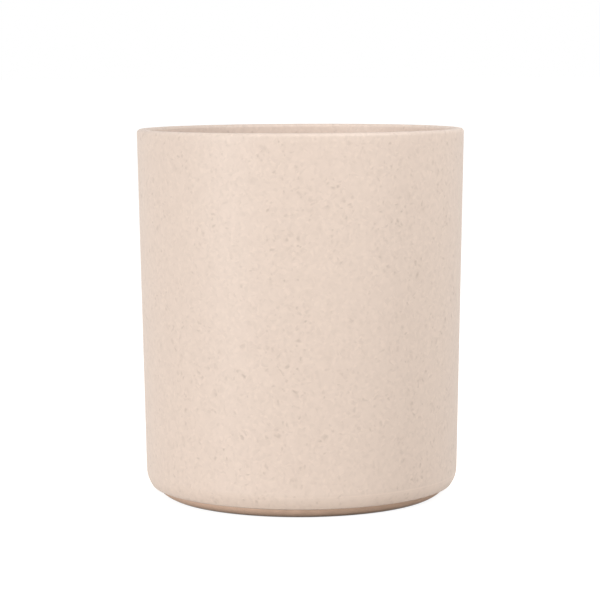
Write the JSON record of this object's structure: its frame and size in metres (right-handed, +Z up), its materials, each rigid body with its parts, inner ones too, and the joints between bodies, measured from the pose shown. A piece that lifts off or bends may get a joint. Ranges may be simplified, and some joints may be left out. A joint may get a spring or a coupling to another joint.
{
  "type": "tumbler mug",
  "caption": "Handle-less straight-sided tumbler mug with a slight draft, a rounded lip and lower corner, and a soft base pad let into its underside.",
  "frame": {"origin": "on the cup's axis, at the surface that it stands on", "axes": "+Z up along the cup's axis, -Y towards the picture's camera; the cup is round, so X and Y are alike"},
  "size_m": [0.08, 0.08, 0.09],
  "materials": {
    "speckled_plastic": "warm beige fibre-filled plastic with fine brown-grey specks, silky matte",
    "pad_rubber": "matte tan elastomer, a shade darker than the cup"
  },
  "bodies": {
    "root": {"cup_body": "speckled_plastic", "non_slip_base": "pad_rubber"}
  },
  "joints": []
}
